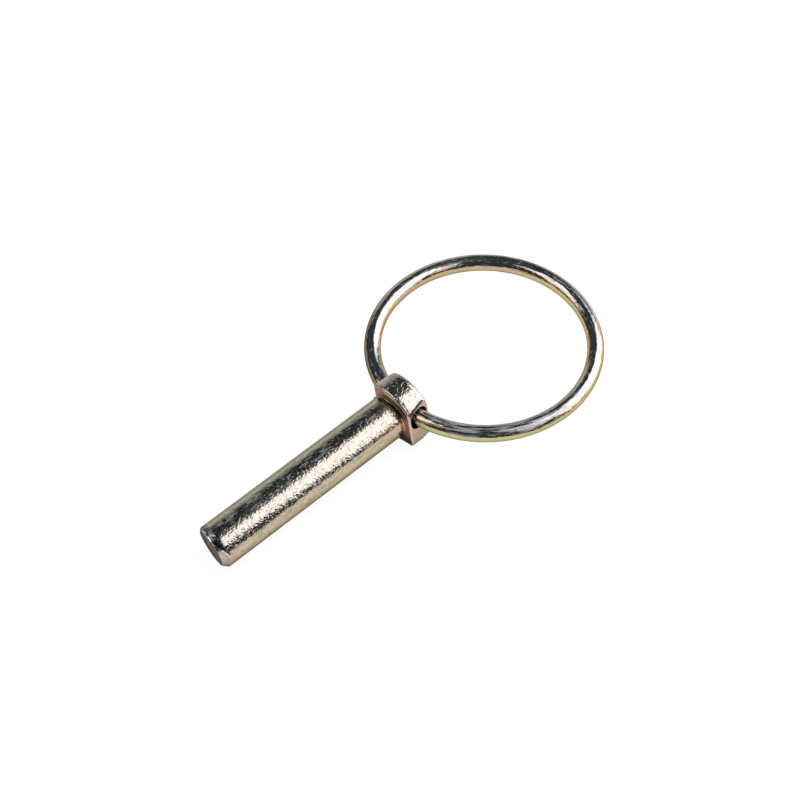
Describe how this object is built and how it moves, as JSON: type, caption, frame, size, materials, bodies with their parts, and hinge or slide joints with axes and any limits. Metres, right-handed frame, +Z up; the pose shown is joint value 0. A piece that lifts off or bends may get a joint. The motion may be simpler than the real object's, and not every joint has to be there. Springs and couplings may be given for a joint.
{
  "type": "lynch pin",
  "caption": "Plated steel lynch pin: a round shank with a forged, flat-sided head and a sprung wire ring hinged through the head.",
  "frame": {"origin": "on the ground plane, under the middle of the box that holds the pin and its ring", "axes": "+X along the pin from its tip to the far side of the ring, +Y to the left of that, +Z up from the ground the pin lies on"},
  "size_m": [0.1036, 0.0526, 0.0134],
  "materials": {
    "pin_plating": "yellow iridescent zinc plating over a slightly rough forged surface, semi-gloss",
    "ring_plating": "yellow iridescent zinc plating over smooth drawn wire, glossy"
  },
  "bodies": {
    "pin": {"pin": "pin_plating"},
    "ring": {"ring": "ring_plating"}
  },
  "joints": [
    {"name": "ring_hinge", "type": "hinge", "parent": "pin", "child": "ring", "pos_m": [0.00119, 0, 0.00761], "axis": [0, 1, 0], "range_deg": [-174.7, 168.7]}
  ]
}
